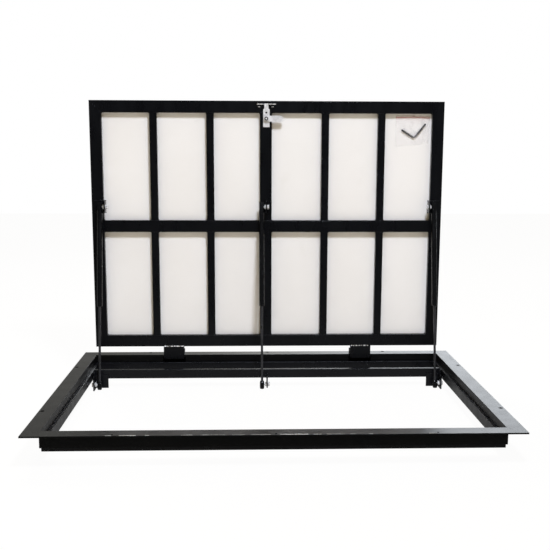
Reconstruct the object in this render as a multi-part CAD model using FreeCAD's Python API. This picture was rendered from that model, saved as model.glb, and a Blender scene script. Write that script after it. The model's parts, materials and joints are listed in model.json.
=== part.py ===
import FreeCAD, Part
import math
import os

# Millimetres. X runs across the hatch, Y from the front to the hinges, Z up.
# The origin is the centre of the frame, level with the paving. The lid stands open.

# Frame of mitred angle, let into the paving
frame_length = 1296.0
frame_depth = 940.0
angle_leg = 45.0
angle_thick = 4.0
angle_root_radius = 4.0
fixing_radius = 3.3
fixing_edge = 10.0
side_fixing_pitch = 500.0
end_fixing_pitch = 415.0

# Ledge of box section round the opening, and the bar across its back
ledge_width = 10.0
ledge_height = 30.0
ledge_wall = 1.5
ledge_corner = 1.2
crossbar_width = 15.0
crossbar_setback = 100.0

# Lid: a grid of box section under a board
lid_gap = 3.0
lid_rest_gap = 0.5
tube_depth = 20.0
tube_wall = 2.0
tube_corner = 1.8
stile_width = 40.0
bar_width = 25.0
centre_stile_x = -6.5
outer_cell = 160.5
bar_pitch = 191.5
board_thick = 5.0
fit_gap = 0.05
sheet_gap = 0.3

# Hinges
hinge_inset = 271.5
hinge_setback = 21.0
knuckle_radius = 9.0
knuckle_length = 30.0
knuckle_gap = 0.5
ear_corner = 5.0
pin_radius = 4.0
arm_width = 72.0
arm_thick = 6.0
arm_tail = 44.5
arm_corner = 4.0
web_width = 30.0
running_gap = 0.06
notch_gap = 2.0
notch_depth = 29.0
slot_top = 8.0
slot_bottom = 31.0
slot_gap = 3.5
pocket_sheet = 2.0
pocket_depth = 38.5
pocket_floor = 36.0

# Gas struts
strut_inset = 30.0
lower_ball_reach = 26.0
lower_ball_drop = 14.8
upper_ball_reach = 17.0
upper_ball_rise = 489.0
ball_radius = 5.0
ball_sides = 12
ball_gap = 0.25
socket_width = 15.0
socket_length = 11.5
socket_tail = 17.0
socket_neck_width = 12.0
socket_shoulder = 3.5
rod_radius = 4.0
cylinder_radius = 9.0
cylinder_wall = 1.2
cylinder_reach = 338.0
cylinder_cap = 8.0
cylinder_lead = 1.5
gland_length = 16.0
piston_gap = 0.2
piston_length = 12.0

# Studs and the plates that carry them
plate_thick = 4.0
stud_reach = 15.0
stud_neck_radius = 3.0
stud_square = 8.0
collar_thick = 5.0
nut_flats = 13.0
nut_thick = 6.5
pivot_gap = 0.3
foot_height = 46.0
foot_lap = 14.5
foot_reach = 45.0
centre_foot_height = 38.0
lid_bracket_height = 40.0
lid_bracket_reach = 32.0
lid_bracket_width = 40.0
centre_bracket_width = 20.0

# Latch, its places measured from the spindle
spindle_offset = 1.0
spindle_drop = 59.0
spindle_radius = 4.0
spindle_gap = 0.1
spindle_head_radius = 7.0
spindle_head_gap = 0.5
strip_width = 22.0
strip_neck_width = 14.0
strip_offset = 0.5
strip_thick = 3.0
strip_below = 28.0
strip_shoulder = 30.0
strip_above = 50.0
strip_hole_radius = 3.0
strip_hole_rise = 20.0
backing_low = 37.0
backing_high = 52.0
backing_left = 32.0
backing_right = 29.0
backing_thick = 1.0
cam_gap = 0.3
cam_thick = 3.0
cam_width = 20.0
cam_length = 57.7
cam_corner = 6.0
cam_square = 5.6
keeper_near = 12.0
keeper_far = 27.5
keeper_margin = 1.0

# Hex key in its bag, measured from the corner between the right stile and the top rail
key_flats = 6.0
key_bend = 9.0
key_elbow = (-59.0, -81.0)
key_short_end = (-102.0, -54.0)
key_long_end = (-21.0, -34.0)
bag_film = 0.5
bag_gap = 0.3
bag_outline = ((-121.0, -110.0), (-60.0, -106.0), (-8.0, -99.0), (-4.0, -8.0), (-62.0, -4.0), (-123.0, -6.0))

# Places that follow from the sizes above
half_length = frame_length / 2
half_depth = frame_depth / 2
opening_x = half_length - angle_leg
opening_y = half_depth - angle_leg
lid_half_length = opening_x - lid_gap
lid_half_depth = opening_y - lid_gap
lid_thick = tube_depth + board_thick
ledge_top = -lid_thick - lid_rest_gap
ledge_bottom = ledge_top - ledge_height
crossbar_back = opening_y - crossbar_setback
crossbar_front = crossbar_back - crossbar_width
hinge_x = lid_half_length - hinge_inset
hinge_y = opening_y + hinge_setback
hinge_z = knuckle_radius
board_back = hinge_y - hinge_z
board_front = board_back - board_thick
grid_front = board_front - tube_depth
lid_foot = hinge_z + hinge_y - lid_half_depth
lid_head = lid_foot + 2 * lid_half_depth
lid_middle = (lid_foot + lid_head) / 2
stile_inner = lid_half_length - stile_width
rail_low = lid_foot + stile_width
rail_high = lid_head - stile_width
rail_middle_low = lid_middle - stile_width / 2
rail_middle_high = lid_middle + stile_width / 2
outer_bar_x = stile_inner - outer_cell - bar_width / 2
inner_bar_x = outer_bar_x - bar_pitch
side_strut_x = lid_half_length - strut_inset
centre_strut_x = centre_stile_x - stud_reach
lower_ball_y = crossbar_front - lower_ball_reach
lower_ball_z = ledge_bottom - lower_ball_drop
upper_ball_y = grid_front - upper_ball_reach
upper_ball_z = lid_foot + upper_ball_rise
foot_top = ledge_bottom + foot_lap
spindle_x = centre_stile_x + spindle_offset
spindle_z = lid_head - spindle_drop
strip_x = spindle_x + strip_offset
cam_back = grid_front - strip_thick - cam_gap
cam_front = cam_back - cam_thick

V = FreeCAD.Vector


def box(x0, x1, y0, y1, z0, z1):
    return Part.makeBox(x1 - x0, y1 - y0, z1 - z0, V(x0, y0, z0))


def rod(radius, start, end):
    """Round bar from one point to another."""
    return Part.makeCylinder(radius, (end - start).Length, start, end - start)


def prism(points, along):
    """Solid from a closed outline of points, pushed along a vector."""
    return Part.Face(Part.makePolygon(list(points) + [points[0]])).extrude(along)


def hexagon(flats, centre, along):
    """Hexagonal prism from its centre point, along X, Y or Z."""
    corner = flats / math.sqrt(3)
    turn = FreeCAD.Rotation(V(0, 0, 1), along)
    points = [centre + turn.multVec(V(corner * math.cos(math.radians(60 * k)),
                                      corner * math.sin(math.radians(60 * k)), 0)) for k in range(6)]
    return prism(points, along)


def turned(outline):
    """Solid of revolution about Z from points of radius and height."""
    face = Part.Face(Part.makePolygon([V(r, 0, z) for r, z in outline + outline[:1]]))
    return face.revolve(V(0, 0, 0), V(0, 0, 1), 360)


def across(axis, along, a, b):
    """Point at a place along one axis and at two places across it."""
    return {"x": V(along, a, b), "y": V(a, along, b), "z": V(a, b, along)}[axis]


def box_section(axis, start, end, a0, a1, b0, b1, wall, corner):
    """Hollow rectangular tube along an axis, its four long edges eased."""
    outline = [(a0, b0 + corner), (a0 + corner, b0), (a1 - corner, b0), (a1, b0 + corner),
               (a1, b1 - corner), (a1 - corner, b1), (a0 + corner, b1), (a0, b1 - corner)]
    inside = [(a0 + wall, b0 + wall), (a1 - wall, b0 + wall), (a1 - wall, b1 - wall), (a0 + wall, b1 - wall)]
    outer, inner = [prism([across(axis, start, a, b) for a, b in points], across(axis, end - start, 0, 0))
                    for points in (outline, inside)]
    return outer.cut(inner)


def group(shapes):
    return Part.makeCompound([solid for shape in shapes for solid in shape.Solids])


def beside(face, side, thick):
    """The two X values of a plate that starts at a face and grows towards one side, lower first."""
    return sorted((face, face + side * thick))


def angle_length(toward_y, half_run, half_out):
    """One side of the frame: rolled angle along X at -Y, both ends mitred."""
    out, inner = -half_out, -half_out + angle_leg
    wall = inner - angle_thick
    low, under = -angle_leg, -angle_thick
    root = angle_root_radius
    bend = root * (1 - math.sqrt(0.5))
    points = [V(0, out, 0), V(0, inner, 0), V(0, inner, low), V(0, wall, low), V(0, wall, under - root)]
    edges = [Part.LineSegment(points[k], points[k + 1]).toShape() for k in range(4)]
    edges.append(Part.Arc(points[4], V(0, wall - bend, under - bend), V(0, wall - root, under)).toShape())
    edges.append(Part.LineSegment(V(0, wall - root, under), V(0, out, under)).toShape())
    edges.append(Part.LineSegment(V(0, out, under), points[0]).toShape())
    bar = Part.Face(Part.Wire(edges)).extrude(V(2 * half_run, 0, 0)).translated(V(-half_run, 0, 0))
    reach = half_run - angle_leg
    plan = [V(-half_run, out, low), V(half_run, out, low), V(reach, inner, low), V(-reach, inner, low)]
    bar = bar.common(prism(plan, V(0, 0, angle_leg)))
    return bar.rotated(V(0, 0, 0), V(0, 0, 1), toward_y)


def fixing_hole(x, y):
    return Part.makeCylinder(fixing_radius, angle_leg, V(x, y, -angle_leg / 2))


def frame_angles():
    front = angle_length(0, half_length, half_depth)
    back = angle_length(180, half_length, half_depth)
    right = angle_length(90, half_depth, half_length)
    left = angle_length(-90, half_depth, half_length)
    for place in (-end_fixing_pitch, 0, end_fixing_pitch):
        front = front.cut(fixing_hole(place, fixing_edge - half_depth))
        back = back.cut(fixing_hole(place, half_depth - fixing_edge))
    for place in (-side_fixing_pitch / 2, side_fixing_pitch / 2):
        right = right.cut(fixing_hole(half_length - fixing_edge, place))
        left = left.cut(fixing_hole(fixing_edge - half_length, place))
    notch = web_width / 2 + notch_gap
    slot = arm_width / 2 + slot_gap
    for x in (-hinge_x, hinge_x):
        back = back.cut(box(x - notch, x + notch, opening_y - 1, opening_y + notch_depth, -slot_top, 1))
        back = back.cut(box(x - slot, x + slot, opening_y - 1, opening_y + angle_thick + 1,
                            -slot_bottom, -slot_top))
    return {"frame_angle_front": front, "frame_angle_back": back,
            "frame_angle_left": left, "frame_angle_right": right}


def ledges():
    """Box section that the lid rests on, mitred at the corners, and the bar that carries the struts."""
    inner_x, inner_y = opening_x - ledge_width, opening_y - ledge_width
    height = V(0, 0, ledge_height)
    made = {}
    for name, side in (("front", -1), ("back", 1)):
        near, far = sorted((side * inner_y, side * opening_y))
        bar = box_section("x", -opening_x, opening_x, near, far, ledge_bottom, ledge_top,
                          ledge_wall, ledge_corner)
        plan = [(-opening_x, side * opening_y), (opening_x, side * opening_y),
                (inner_x, side * inner_y), (-inner_x, side * inner_y)]
        made["ledge_" + name] = bar.common(prism([V(x, y, ledge_bottom) for x, y in plan], height))
    for name, side in (("left", -1), ("right", 1)):
        near, far = sorted((side * inner_x, side * opening_x))
        bar = box_section("y", -opening_y, opening_y, near, far, ledge_bottom, ledge_top,
                          ledge_wall, ledge_corner)
        plan = [(side * opening_x, -opening_y), (side * opening_x, opening_y),
                (side * inner_x, inner_y), (side * inner_x, -inner_y)]
        made["ledge_" + name] = bar.common(prism([V(x, y, ledge_bottom) for x, y in plan], height))
    slot_high = hinge_z + cam_back - hinge_y + keeper_margin
    slot_low = slot_high - cam_thick - 2 * keeper_margin - ledge_wall
    slot = box(spindle_x - keeper_near, spindle_x + keeper_far, -inner_y - ledge_wall - 1, -inner_y + 1,
               slot_low, slot_high)
    made["ledge_front"] = made["ledge_front"].cut(slot)
    made["crossbar"] = box_section("x", -inner_x, inner_x, crossbar_front, crossbar_back,
                                   ledge_bottom, ledge_top, ledge_wall, ledge_corner)
    return made


def hinge_pocket(x):
    """Folded sheet behind the slot, which keeps the paving bed off the hinge arm."""
    half = arm_width / 2 + slot_gap
    wall = opening_y + angle_thick
    back = wall + pocket_depth
    under = -angle_thick
    outer = box(x - half - pocket_sheet, x + half + pocket_sheet, wall, back + pocket_sheet,
                -pocket_floor - pocket_sheet, under)
    inner = box(x - half, x + half, wall - 1, back, -pocket_floor, under + 1)
    root_relief = box(x - half - pocket_sheet, x + half + pocket_sheet, wall, wall + angle_root_radius,
                      under - angle_root_radius, under)
    return outer.cut(inner).cut(root_relief)


def fixed_ears(x):
    """Two ears of one hinge, standing on the frame's flange."""
    top = hinge_z + knuckle_radius
    half, step = knuckle_radius, ear_corner
    outline = [(-half, 0), (half, 0), (half, top - step), (half - step, top), (step - half, top),
               (-half, top - step)]
    near, far = knuckle_length / 2 + knuckle_gap, arm_width / 2
    made = []
    for side in (-1, 1):
        low, high = sorted((x + side * near, x + side * far))
        ear = prism([V(low, hinge_y + a, b) for a, b in outline], V(high - low, 0, 0))
        made.append(ear.cut(rod(pin_radius + fit_gap, V(low - 1, hinge_y, hinge_z),
                                V(high + 1, hinge_y, hinge_z))))
    return made


def hinge_pin(x):
    half = arm_width / 2
    return rod(pin_radius, V(x - half, hinge_y, hinge_z), V(x + half, hinge_y, hinge_z))


def hinge_arm(x):
    """Plate welded to the lid's edge, with the web that reaches up to the moving knuckle."""
    half, corner, low = arm_width / 2, arm_corner, lid_foot - arm_tail
    outline = [(-half, lid_foot), (half, lid_foot), (half, low + corner), (half - corner, low),
               (corner - half, low), (-half, low + corner)]
    plate = prism([V(x + a, grid_front, b) for a, b in outline], V(0, arm_thick, 0))
    web = box(x - web_width / 2, x + web_width / 2, grid_front + arm_thick, hinge_y,
              hinge_z - arm_thick / 2, hinge_z + arm_thick / 2)
    ends = V(x - knuckle_length / 2, hinge_y, hinge_z), V(x + knuckle_length / 2, hinge_y, hinge_z)
    arm = plate.fuse(web).fuse(rod(knuckle_radius, *ends))
    bore = rod(pin_radius + running_gap, ends[0] - V(1, 0, 0), ends[1] + V(1, 0, 0))
    return arm.cut(bore).removeSplitter()


def stud_hole(face, side, y, z):
    """Square hole in a plate, which keeps the stud from turning."""
    half = stud_square / 2 + fit_gap
    return box(*beside(face - side, side, plate_thick + 2), y - half, y + half, z - half, z + half)


def strut_foot(side):
    """Piece of angle under the crossbar, its free leg outboard of the strut."""
    leg_in = side * (side_strut_x + stud_reach)
    leg_out = leg_in + side * plate_thick
    high, low = foot_top, foot_top - foot_height
    leg = box(*beside(leg_in, side, plate_thick), crossbar_front - foot_reach, crossbar_front, low, high)
    flat = box(*beside(leg_out, -side, foot_reach), crossbar_front - plate_thick, crossbar_front, low, high)
    return leg.fuse(flat).cut(stud_hole(leg_in, side, lower_ball_y, lower_ball_z)).removeSplitter()


def centre_foot():
    """Flat plate welded on edge to the crossbar."""
    face = centre_strut_x + stud_reach
    plate = box(face, face + plate_thick, crossbar_front - foot_reach, crossbar_front,
                foot_top - centre_foot_height, foot_top)
    return plate.cut(stud_hole(face, 1, lower_ball_y, lower_ball_z))


def lid_bracket(x, side, width, outward):
    """Angle bracket on a stile: the free leg carries the stud, the flat one lies on the stile."""
    face = x + side * stud_reach
    far = face + side * plate_thick
    low, high = upper_ball_z - lid_bracket_height / 2, upper_ball_z + lid_bracket_height / 2
    leg = box(*beside(face, side, plate_thick), grid_front - lid_bracket_reach, grid_front, low, high)
    flat = box(*(beside(face, side, width) if outward else beside(far, -side, width)),
               grid_front - plate_thick, grid_front, low, high)
    return leg.fuse(flat).cut(stud_hole(face, side, upper_ball_y, upper_ball_z)).removeSplitter()


def in_flats(side, profile):
    """Small round piece along X towards one side, made in flats from points of place and radius."""
    angles = [math.radians(360 * k / ball_sides) for k in range(ball_sides + 1)]
    rings = [Part.makePolygon([V(side * x, radius * math.cos(t), radius * math.sin(t)) for t in angles])
             for x, radius in profile]
    return Part.makeLoft(rings, True, True)


def ball(side, neck_length):
    """Ball about the origin on its neck."""
    r, neck = ball_radius, stud_neck_radius
    return in_flats(side, [(-0.92 * r, 0.38 * r), (-0.6 * r, 0.8 * r), (0, r), (0.6 * r, 0.8 * r),
                           (0.8 * r, neck), (neck_length, neck)])


def ball_stud(x, y, z, side, whole):
    """Neck, hexagon collar, square and nut. A lower stud has its ball, an upper one stops at the socket."""
    plate = x + side * stud_reach
    back = plate + side * plate_thick
    half = stud_square / 2
    stud = box(*beside(plate, side, plate_thick), y - half, y + half, z - half, z + half)
    stud = stud.fuse(hexagon(nut_flats, V(plate - side * collar_thick, y, z), V(side * collar_thick, 0, 0)))
    stud = stud.fuse(hexagon(nut_flats, V(back, y, z), V(side * nut_thick, 0, 0)))
    begin, end = socket_width / 2 + pivot_gap, stud_reach - collar_thick
    neck = ball(side, end) if whole else in_flats(side, [(begin, stud_neck_radius), (end, stud_neck_radius)])
    return stud.fuse(neck.translated(V(x, y, z))).removeSplitter()


def socket(side):
    """Ball socket at the origin, its shank up along Z and its mouth towards one side."""
    half, neck, step = socket_width / 2, socket_neck_width / 2, socket_shoulder
    outline = [(-neck, socket_length), (-half, socket_length - step), (-half, step - socket_tail),
               (step - half, -socket_tail), (half - step, -socket_tail), (half, step - socket_tail),
               (half, socket_length - step), (neck, socket_length)]
    body = prism([V(-half, a, b) for a, b in outline], V(socket_width, 0, 0))
    seat = ball_radius + ball_gap
    return body.cut(rod(seat, V(-side * seat, 0, 0), V(side * (half + 1), 0, 0)))


def strut_rod(gland_face):
    """Rod with its piston, from the lower socket up into the cylinder."""
    piston_low = gland_face + gland_length + piston_gap
    piston_high = piston_low + piston_length
    bore = cylinder_radius - cylinder_wall - piston_gap
    return turned([(0, socket_length), (rod_radius, socket_length), (rod_radius, piston_low),
                   (bore, piston_low), (bore, piston_high), (0, piston_high)])


def strut_cylinder(length, gland_face):
    """Pressure tube in section, rolled in over the gland, turned about its own axis."""
    head = length - socket_length
    bore = cylinder_radius - cylinder_wall
    rod_bore = rod_radius + running_gap
    return turned([(rod_bore, gland_face), (cylinder_radius - cylinder_lead, gland_face),
                   (cylinder_radius, gland_face + cylinder_lead), (cylinder_radius, head),
                   (0, head), (0, head - cylinder_cap), (bore, head - cylinder_cap),
                   (bore, gland_face + gland_length), (rod_bore, gland_face + gland_length)])


def strut(name, x, lower_side, upper_side):
    """One gas strut, pulled out to the open lid's length."""
    rise = V(0, upper_ball_y - lower_ball_y, upper_ball_z - lower_ball_z)
    length = rise.Length
    gland_face = length - cylinder_reach
    lean = FreeCAD.Rotation(V(1, 0, 0), -math.degrees(math.atan2(rise.y, rise.z)))
    place = FreeCAD.Placement(V(x, lower_ball_y, lower_ball_z), lean)
    flip = FreeCAD.Placement(V(0, 0, length), FreeCAD.Rotation(V(1, 0, 0), 180))
    top = group([socket(upper_side), ball(upper_side, socket_width / 2)])
    top.Placement = place.multiply(flip)
    made = {"lower_socket": socket(lower_side), "rod": strut_rod(gland_face),
            "cylinder": strut_cylinder(length, gland_face)}
    for shape in made.values():
        shape.Placement = place
    made["upper_socket"] = top
    return {"strut_%s_%s" % (name, part): shape for part, shape in made.items()}


def lid_frame():
    """Outer tubes mitred at the corners, the middle rail, the centre stile and eight bars."""
    def member(axis, start, end, low, high):
        if axis == "x":
            return box_section("x", start, end, grid_front, board_front, low, high, tube_wall, tube_corner)
        return box_section("z", start, end, low, high, grid_front, board_front, tube_wall, tube_corner)

    def mitred(bar, points):
        return bar.common(prism([V(a, grid_front, b) for a, b in points], V(0, tube_depth, 0)))

    out, inner = lid_half_length, stile_inner
    made = {
        "lid_rail_bottom": mitred(member("x", -out, out, lid_foot, rail_low),
                                  [(-out, lid_foot), (out, lid_foot), (inner, rail_low), (-inner, rail_low)]),
        "lid_rail_top": mitred(member("x", -out, out, rail_high, lid_head),
                               [(-out, lid_head), (out, lid_head), (inner, rail_high), (-inner, rail_high)]),
        "lid_rail_middle": member("x", -inner, inner, rail_middle_low, rail_middle_high)}
    for name, side in (("left", -1), ("right", 1)):
        low, high = sorted((side * inner, side * out))
        made["lid_stile_" + name] = mitred(member("z", lid_foot, lid_head, low, high),
                                           [(side * out, lid_foot), (side * out, lid_head),
                                            (side * inner, rail_high), (side * inner, rail_low)])
    rows = (("lower", rail_low, rail_middle_low), ("upper", rail_middle_high, rail_high))
    half = stile_width / 2
    for row, low, high in rows:
        made["lid_centre_stile_" + row] = member("z", low, high, centre_stile_x - half,
                                                 centre_stile_x + half)
        for number, x in enumerate((-outer_bar_x, -inner_bar_x, inner_bar_x, outer_bar_x), 1):
            made["lid_bar_%s_%d" % (row, number)] = member("z", low, high, x - bar_width / 2,
                                                           x + bar_width / 2)
    return made


def lid():
    """The grid and its board, both drilled for the latch."""
    made = lid_frame()
    made["lid_centre_stile_upper"] = made["lid_centre_stile_upper"].cut(
        rod(spindle_radius + spindle_gap, V(spindle_x, grid_front - 1, spindle_z),
            V(spindle_x, board_front + 1, spindle_z)))
    board = box(-lid_half_length, lid_half_length, board_front, board_back, lid_foot, lid_head)
    made["lid_board"] = board.cut(rod(spindle_head_radius + spindle_head_gap,
                                      V(spindle_x, board_front - 1, spindle_z),
                                      V(spindle_x, board_back + 1, spindle_z)))
    return made


def latch_strip():
    """Zinc plate that stiffens the stile behind the cam, narrower above its shoulder."""
    half, neck, step = strip_width / 2, strip_neck_width / 2, (strip_width - strip_neck_width) / 2
    low, shoulder, high = spindle_z - strip_below, spindle_z + strip_shoulder, spindle_z + strip_above
    outline = [(-half, low), (half, low), (half, shoulder), (neck, shoulder + step), (neck, high),
               (-neck, high), (-neck, shoulder + step), (-half, shoulder)]
    plate = prism([V(strip_x + a, grid_front - strip_thick, b) for a, b in outline], V(0, strip_thick, 0))
    for height, radius in ((spindle_z, spindle_radius + spindle_gap),
                           (spindle_z + strip_hole_rise, strip_hole_radius)):
        plate = plate.cut(rod(radius, V(spindle_x, grid_front - strip_thick - 1, height),
                              V(spindle_x, grid_front + 1, height)))
    return plate


def backing_plate():
    """Black packer round the strip's top end."""
    neck = strip_neck_width / 2 + sheet_gap
    left, right = strip_x - backing_left, strip_x + backing_right
    low, high = spindle_z + backing_low, spindle_z + backing_high
    ledge = spindle_z + strip_above + sheet_gap
    outline = [(left, low), (strip_x - neck, low), (strip_x - neck, ledge), (strip_x + neck, ledge),
               (strip_x + neck, low), (right, low), (right, high), (left, high)]
    return prism([V(a, grid_front - backing_thick, b) for a, b in outline], V(0, backing_thick, 0))


def latch_parts():
    """Cam on a square, its cap nut, and the spindle that a key turns from above through the board."""
    half, tip, corner = cam_width / 2, spindle_x + cam_length, cam_corner
    outline = [(spindle_x, -half), (tip - corner, -half), (tip, corner - half), (tip, half - corner),
               (tip - corner, half), (spindle_x, half)]
    cam = prism([V(a, cam_front, spindle_z + b) for a, b in outline], V(0, cam_thick, 0))
    cam = cam.fuse(rod(half, V(spindle_x, cam_front, spindle_z), V(spindle_x, cam_back, spindle_z)))
    def square(width, front, back):
        return box(spindle_x - width / 2, spindle_x + width / 2, front, back,
                   spindle_z - width / 2, spindle_z + width / 2)

    cam = cam.cut(square(cam_square + 2 * fit_gap, cam_front - 1, cam_back + 1)).removeSplitter()
    nut = hexagon(nut_flats, V(spindle_x, cam_front - nut_thick, spindle_z), V(0, nut_thick, 0))
    head_face = board_front + sheet_gap
    spindle = rod(spindle_radius, V(spindle_x, cam_back, spindle_z), V(spindle_x, head_face, spindle_z))
    spindle = spindle.fuse(square(cam_square, cam_front, cam_back))
    spindle = spindle.fuse(rod(spindle_head_radius, V(spindle_x, head_face, spindle_z),
                               V(spindle_x, board_back, spindle_z)))
    key_way = hexagon(key_flats, V(spindle_x, head_face + 1, spindle_z), V(0, board_thick, 0))
    return {"latch_cam": cam, "latch_spindle": spindle.cut(key_way).removeSplitter(), "latch_nut": nut}


def hex_key():
    """Hexagonal wire with one bend, lying against the board."""
    lie = board_front - sheet_gap - bag_gap - bag_film - key_flats / math.sqrt(3)
    elbow, short, long = [V(stile_inner + a, lie, rail_high + b)
                          for a, b in (key_elbow, key_short_end, key_long_end)]
    toward_short = (short - elbow).normalize()
    toward_long = (long - elbow).normalize()
    half_angle = toward_short.getAngle(toward_long) / 2
    tangent = key_bend / math.tan(half_angle)
    begin, end = elbow + toward_short * tangent, elbow + toward_long * tangent
    inward = (toward_short + toward_long).normalize()
    middle = elbow + inward * (key_bend / math.sin(half_angle) - key_bend)
    path = Part.Wire([Part.LineSegment(short, begin).toShape(), Part.Arc(begin, middle, end).toShape(),
                      Part.LineSegment(end, long).toShape()])
    corner = key_flats / math.sqrt(3)
    side = toward_short.cross(V(0, 1, 0))
    ring = [short + side * (corner * math.sin(math.radians(60 * k)))
            + V(0, corner * math.cos(math.radians(60 * k)), 0) for k in range(7)]
    return path.makePipeShell([Part.makePolygon(ring)], True, False)


def key_bag():
    """Film pouch round the key, open along its top edge."""
    back = board_front - sheet_gap
    front = back - 2 * (bag_film + bag_gap) - 2 * key_flats / math.sqrt(3)
    outline = [(stile_inner + a, rail_high + b) for a, b in bag_outline]
    middle = [sum(point[k] for point in outline) / len(outline) for k in (0, 1)]
    inside = []
    for a, b in outline:
        da, db = a - middle[0], b - middle[1]
        shrink = 1 - 2 * bag_film / math.hypot(da, db)
        rise = 4 * bag_film if db > 0 else 0
        inside.append((middle[0] + da * shrink, middle[1] + db * shrink + rise))
    outer = prism([V(a, front, b) for a, b in outline], V(0, back - front, 0))
    inner = prism([V(a, front + bag_film, b) for a, b in inside], V(0, back - front - 2 * bag_film, 0))
    return outer.cut(inner)


sides = (("left", -side_strut_x, -1, 1), ("centre", centre_strut_x, 1, 1), ("right", side_strut_x, 1, -1))
hinges = (("left", -hinge_x), ("right", hinge_x))
nodes = {}
nodes.update(frame_angles())
nodes.update(ledges())
nodes.update(lid())
nodes.update(latch_parts())
nodes["latch_strip"] = latch_strip()
nodes["latch_backing"] = backing_plate()
nodes["hex_key"] = hex_key()
nodes["key_bag"] = key_bag()
for name, x in hinges:
    nodes["hinge_pocket_" + name] = hinge_pocket(x)
    nodes["hinge_arm_" + name] = hinge_arm(x)
nodes["hinge_fixed_knuckles"] = group(ear for _, x in hinges for ear in fixed_ears(x))
nodes["hinge_pins"] = group(hinge_pin(x) for _, x in hinges)
for name, x, lower_side, upper_side in sides:
    nodes.update(strut(name, x, lower_side, upper_side))
nodes["strut_foot_left"] = strut_foot(-1)
nodes["strut_foot_centre"] = centre_foot()
nodes["strut_foot_right"] = strut_foot(1)
nodes["strut_bracket_left"] = lid_bracket(-side_strut_x, 1, lid_bracket_width, False)
nodes["strut_bracket_centre"] = lid_bracket(centre_strut_x, 1, centre_bracket_width, True)
nodes["strut_bracket_right"] = lid_bracket(side_strut_x, -1, lid_bracket_width, False)
nodes["lower_ball_studs"] = group(ball_stud(x, lower_ball_y, lower_ball_z, side, True)
                                  for _, x, side, _ in sides)
nodes["upper_ball_studs"] = group(ball_stud(x, upper_ball_y, upper_ball_z, side, False)
                                  for _, x, _, side in sides)

os.makedirs("parts", exist_ok=True)
for name, shape in nodes.items():
    shape.exportStep("parts/%s.step" % name)
print(len(nodes), "nodes")
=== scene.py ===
import bpy
import json
import math
from mathutils import Matrix, Vector


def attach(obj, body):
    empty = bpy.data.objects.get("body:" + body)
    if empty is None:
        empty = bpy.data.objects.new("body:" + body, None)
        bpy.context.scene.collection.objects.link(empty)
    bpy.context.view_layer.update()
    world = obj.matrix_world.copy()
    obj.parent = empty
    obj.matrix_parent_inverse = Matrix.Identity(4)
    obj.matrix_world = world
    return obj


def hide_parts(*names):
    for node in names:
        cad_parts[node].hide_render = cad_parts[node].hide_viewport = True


# Recessed paving cover, lid open. Metres, X across the hatch, Y towards the hinges, Z up.
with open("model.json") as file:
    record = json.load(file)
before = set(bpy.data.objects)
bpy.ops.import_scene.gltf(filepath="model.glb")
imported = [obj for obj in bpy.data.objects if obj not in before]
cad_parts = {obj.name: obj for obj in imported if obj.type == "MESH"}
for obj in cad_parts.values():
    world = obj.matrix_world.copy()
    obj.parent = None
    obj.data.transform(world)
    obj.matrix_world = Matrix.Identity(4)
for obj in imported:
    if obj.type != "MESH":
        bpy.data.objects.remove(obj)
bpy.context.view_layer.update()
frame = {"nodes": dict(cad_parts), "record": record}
nodes = frame["nodes"]
print("frame loaded,", len(nodes), "nodes")


def startMaterial(name):  # every finish is worked out from the object's own coordinates
    material = bpy.data.materials.new(name)
    material.use_nodes = True
    tree = material.node_tree
    shader = tree.nodes["Principled BSDF"]
    place = tree.nodes.new("ShaderNodeTexCoord")
    return material, tree, shader, place.outputs["Object"]


def addNoise(tree, place, scale, detail=3.0, stretch=(1, 1, 1)):
    mapping = tree.nodes.new("ShaderNodeMapping")
    mapping.inputs["Scale"].default_value = stretch
    noise = tree.nodes.new("ShaderNodeTexNoise")
    noise.inputs["Scale"].default_value = scale
    noise.inputs["Detail"].default_value = detail
    tree.links.new(place, mapping.inputs["Vector"])
    tree.links.new(mapping.outputs["Vector"], noise.inputs["Vector"])
    return noise.outputs["Fac"]


def addRange(tree, value, low, high, fromLow=0.3, fromHigh=0.7):
    spread = tree.nodes.new("ShaderNodeMapRange")
    spread.interpolation_type = "SMOOTHSTEP"
    for socket, number in (("From Min", fromLow), ("From Max", fromHigh), ("To Min", low), ("To Max", high)):
        spread.inputs[socket].default_value = number
    tree.links.new(value, spread.inputs["Value"])
    return spread.outputs["Result"]


def mixColours(tree, factor, first, second):
    mix = tree.nodes.new("ShaderNodeMix")
    mix.data_type = "RGBA"
    tree.links.new(factor, mix.inputs["Factor"])
    for socket, colour in ((mix.inputs["A"], first), (mix.inputs["B"], second)):
        if isinstance(colour, tuple):
            socket.default_value = (*colour, 1)
        else:
            tree.links.new(colour, socket)
    return mix.outputs["Result"]


def addBump(tree, shader, heights, edge=0.0):
    last = None
    if edge:
        soft = tree.nodes.new("ShaderNodeBevel")  # rolled edges catch the light
        soft.samples = 4
        soft.inputs["Radius"].default_value = edge
        last = soft.outputs["Normal"]
    for height, strength, distance in heights:
        bump = tree.nodes.new("ShaderNodeBump")
        bump.inputs["Strength"].default_value = strength
        bump.inputs["Distance"].default_value = distance
        tree.links.new(height, bump.inputs["Height"])
        if last is not None:
            tree.links.new(last, bump.inputs["Normal"])
        last = bump.outputs["Normal"]
    tree.links.new(last, shader.inputs["Normal"])


sprayWave = {"scale": 35, "strength": 0.012, "height": 0.002}  # the slow waviness of sprayed sheet


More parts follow.
